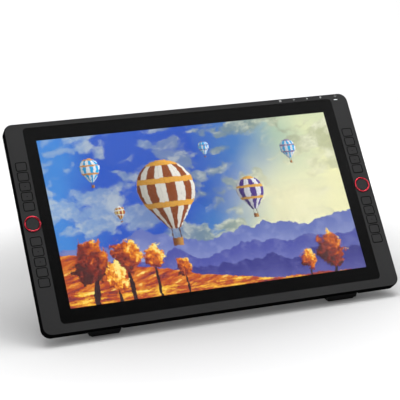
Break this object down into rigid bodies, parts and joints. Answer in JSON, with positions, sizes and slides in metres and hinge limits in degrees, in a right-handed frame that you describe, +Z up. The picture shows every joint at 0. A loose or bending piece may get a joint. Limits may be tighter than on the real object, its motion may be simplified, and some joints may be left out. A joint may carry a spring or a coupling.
{
  "type": "pen display",
  "caption": "Pen display with a glass-covered screen, press keys and a turning dial on each side, tilting on friction hinges above a frame that stands on the desk.",
  "frame": {"origin": "centre of the object's footprint on the desk, at the underside of the rubber pads, with the display at its rest tilt", "axes": "+X to the user's right along the hinge axis, +Y away from the user, +Z up"},
  "size_m": [0.57, 0.2438, 0.2725],
  "materials": {
    "face_plastic": "fine matt grain",
    "key_plastic": "fine matt grain",
    "housing_black": "matt black",
    "screen_glass": "etched anti-glare",
    "lit_panel": "lit picture",
    "tray_grey": "plain",
    "board_dark": "solder mask",
    "board_green": "solder mask",
    "plate_steel": "zinc plated",
    "dark_steel": "blackened",
    "bright_steel": "satin",
    "stand_metal": "black powder coat",
    "rubber_black": "soft",
    "rubber_grey": "soft",
    "ring_red": "anodised, polished",
    "brass": "turned",
    "socket_black": "moulded",
    "light_white": "clear, lit"
  },
  "bodies": {
    "stand": {"base_frame": "stand_metal", "foot_pads": "rubber_black"},
    "display": {"front_bezel": "face_plastic", "cover_glass": "screen_glass", "lcd_panel": "lit_panel", "backlight_tray": "tray_grey", "pen_sensor_board": "board_dark", "chassis_plate": "plate_steel", "main_board": "board_green", "rear_cover": "housing_black", "cover_screws": "dark_steel", "arm_inserts": "brass", "hinge_brackets": "dark_steel", "bracket_screws": "dark_steel", "hinge_pins": "bright_steel", "hinge_caps": "bright_steel", "friction_washers": "bright_steel", "dial_encoders": "socket_black", "osd_board": "board_green", "status_light_guide": "light_white", "power_socket": "socket_black", "hdmi_socket": "bright_steel", "usb_c_socket": "bright_steel", "usb_sockets": "bright_steel", "dome_sheet_left": "rubber_grey", "key_board_left": "board_green", "dome_sheet_right": "rubber_grey", "key_board_right": "board_green"},
    "dial_left": {"dial_ring_left": "ring_red", "dial_knob_left": "key_plastic"},
    "key_left_1": {"key_left_1": "key_plastic"},
    "key_left_2": {"key_left_2": "key_plastic"},
    "key_left_3": {"key_left_3": "key_plastic"},
    "key_left_4": {"key_left_4": "key_plastic"},
    "key_left_5": {"key_left_5": "key_plastic"},
    "key_left_6": {"key_left_6": "key_plastic"},
    "key_left_7": {"key_left_7": "key_plastic"},
    "key_left_8": {"key_left_8": "key_plastic"},
    "key_left_9": {"key_left_9": "key_plastic"},
    "key_left_10": {"key_left_10": "key_plastic"},
    "dial_right": {"dial_ring_right": "ring_red", "dial_knob_right": "key_plastic"},
    "key_right_1": {"key_right_1": "key_plastic"},
    "key_right_2": {"key_right_2": "key_plastic"},
    "key_right_3": {"key_right_3": "key_plastic"},
    "key_right_4": {"key_right_4": "key_plastic"},
    "key_right_5": {"key_right_5": "key_plastic"},
    "key_right_6": {"key_right_6": "key_plastic"},
    "key_right_7": {"key_right_7": "key_plastic"},
    "key_right_8": {"key_right_8": "key_plastic"},
    "key_right_9": {"key_right_9": "key_plastic"},
    "key_right_10": {"key_right_10": "key_plastic"},
    "button_menu": {"button_menu": "housing_black"},
    "button_minus": {"button_minus": "housing_black"},
    "button_plus": {"button_plus": "housing_black"},
    "button_brightness": {"button_brightness": "housing_black"},
    "button_power": {"button_power": "housing_black"}
  },
  "joints": [
    {"name": "display_tilt", "type": "hinge", "parent": "stand", "child": "display", "pos_m": [0, -0.10307, 0.01103], "axis": [1, 0, 0], "range_deg": [-34.27, 39.73]},
    {"name": "dial_left_turn", "type": "hinge", "parent": "display", "child": "dial_left", "pos_m": [-0.269, -0.01218, 0.14855], "axis": [0, -0.7691, 0.6392], "continuous": true},
    {"name": "key_left_1_press", "type": "slide", "parent": "display", "child": "key_left_1", "axis": [0, 0.7691, -0.6392], "range_m": [0, 0.0008], "stiffness_N_per_m": 750, "springref_m": -0.0004},
    {"name": "key_left_2_press", "type": "slide", "parent": "display", "child": "key_left_2", "axis": [0, 0.7691, -0.6392], "range_m": [0, 0.0008], "stiffness_N_per_m": 750, "springref_m": -0.0004},
    {"name": "key_left_3_press", "type": "slide", "parent": "display", "child": "key_left_3", "axis": [0, 0.7691, -0.6392], "range_m": [0, 0.0008], "stiffness_N_per_m": 750, "springref_m": -0.0004},
    {"name": "key_left_4_press", "type": "slide", "parent": "display", "child": "key_left_4", "axis": [0, 0.7691, -0.6392], "range_m": [0, 0.0008], "stiffness_N_per_m": 750, "springref_m": -0.0004},
    {"name": "key_left_5_press", "type": "slide", "parent": "display", "child": "key_left_5", "axis": [0, 0.7691, -0.6392], "range_m": [0, 0.0008], "stiffness_N_per_m": 750, "springref_m": -0.0004},
    {"name": "key_left_6_press", "type": "slide", "parent": "display", "child": "key_left_6", "axis": [0, 0.7691, -0.6392], "range_m": [0, 0.0008], "stiffness_N_per_m": 750, "springref_m": -0.0004},
    {"name": "key_left_7_press", "type": "slide", "parent": "display", "child": "key_left_7", "axis": [0, 0.7691, -0.6392], "range_m": [0, 0.0008], "stiffness_N_per_m": 750, "springref_m": -0.0004},
    {"name": "key_left_8_press", "type": "slide", "parent": "display", "child": "key_left_8", "axis": [0, 0.7691, -0.6392], "range_m": [0, 0.0008], "stiffness_N_per_m": 750, "springref_m": -0.0004},
    {"name": "key_left_9_press", "type": "slide", "parent": "display", "child": "key_left_9", "axis": [0, 0.7691, -0.6392], "range_m": [0, 0.0008], "stiffness_N_per_m": 750, "springref_m": -0.0004},
    {"name": "key_left_10_press", "type": "slide", "parent": "display", "child": "key_left_10", "axis": [0, 0.7691, -0.6392], "range_m": [0, 0.0008], "stiffness_N_per_m": 750, "springref_m": -0.0004},
    {"name": "dial_right_turn", "type": "hinge", "parent": "display", "child": "dial_right", "pos_m": [0.269, -0.01218, 0.14855], "axis": [0, -0.7691, 0.6392], "continuous": true},
    {"name": "key_right_1_press", "type": "slide", "parent": "display", "child": "key_right_1", "axis": [0, 0.7691, -0.6392], "range_m": [0, 0.0008], "stiffness_N_per_m": 750, "springref_m": -0.0004},
    {"name": "key_right_2_press", "type": "slide", "parent": "display", "child": "key_right_2", "axis": [0, 0.7691, -0.6392], "range_m": [0, 0.0008], "stiffness_N_per_m": 750, "springref_m": -0.0004},
    {"name": "key_right_3_press", "type": "slide", "parent": "display", "child": "key_right_3", "axis": [0, 0.7691, -0.6392], "range_m": [0, 0.0008], "stiffness_N_per_m": 750, "springref_m": -0.0004},
    {"name": "key_right_4_press", "type": "slide", "parent": "display", "child": "key_right_4", "axis": [0, 0.7691, -0.6392], "range_m": [0, 0.0008], "stiffness_N_per_m": 750, "springref_m": -0.0004},
    {"name": "key_right_5_press", "type": "slide", "parent": "display", "child": "key_right_5", "axis": [0, 0.7691, -0.6392], "range_m": [0, 0.0008], "stiffness_N_per_m": 750, "springref_m": -0.0004},
    {"name": "key_right_6_press", "type": "slide", "parent": "display", "child": "key_right_6", "axis": [0, 0.7691, -0.6392], "range_m": [0, 0.0008], "stiffness_N_per_m": 750, "springref_m": -0.0004},
    {"name": "key_right_7_press", "type": "slide", "parent": "display", "child": "key_right_7", "axis": [0, 0.7691, -0.6392], "range_m": [0, 0.0008], "stiffness_N_per_m": 750, "springref_m": -0.0004},
    {"name": "key_right_8_press", "type": "slide", "parent": "display", "child": "key_right_8", "axis": [0, 0.7691, -0.6392], "range_m": [0, 0.0008], "stiffness_N_per_m": 750, "springref_m": -0.0004},
    {"name": "key_right_9_press", "type": "slide", "parent": "display", "child": "key_right_9", "axis": [0, 0.7691, -0.6392], "range_m": [0, 0.0008], "stiffness_N_per_m": 750, "springref_m": -0.0004},
    {"name": "key_right_10_press", "type": "slide", "parent": "display", "child": "key_right_10", "axis": [0, 0.7691, -0.6392], "range_m": [0, 0.0008], "stiffness_N_per_m": 750, "springref_m": -0.0004},
    {"name": "button_menu_press", "type": "slide", "parent": "display", "child": "button_menu", "axis": [0, -0.6392, -0.7691], "range_m": [0, 0.0008], "stiffness_N_per_m": 1200, "springref_m": -0.0004},
    {"name": "button_minus_press", "type": "slide", "parent": "display", "child": "button_minus", "axis": [0, -0.6392, -0.7691], "range_m": [0, 0.0008], "stiffness_N_per_m": 1200, "springref_m": -0.0004},
    {"name": "button_plus_press", "type": "slide", "parent": "display", "child": "button_plus", "axis": [0, -0.6392, -0.7691], "range_m": [0, 0.0008], "stiffness_N_per_m": 1200, "springref_m": -0.0004},
    {"name": "button_brightness_press", "type": "slide", "parent": "display", "child": "button_brightness", "axis": [0, -0.6392, -0.7691], "range_m": [0, 0.0008], "stiffness_N_per_m": 1200, "springref_m": -0.0004},
    {"name": "button_power_press", "type": "slide", "parent": "display", "child": "button_power", "axis": [0, -0.6392, -0.7691], "range_m": [0, 0.0008], "stiffness_N_per_m": 1200, "springref_m": -0.0004}
  ]
}
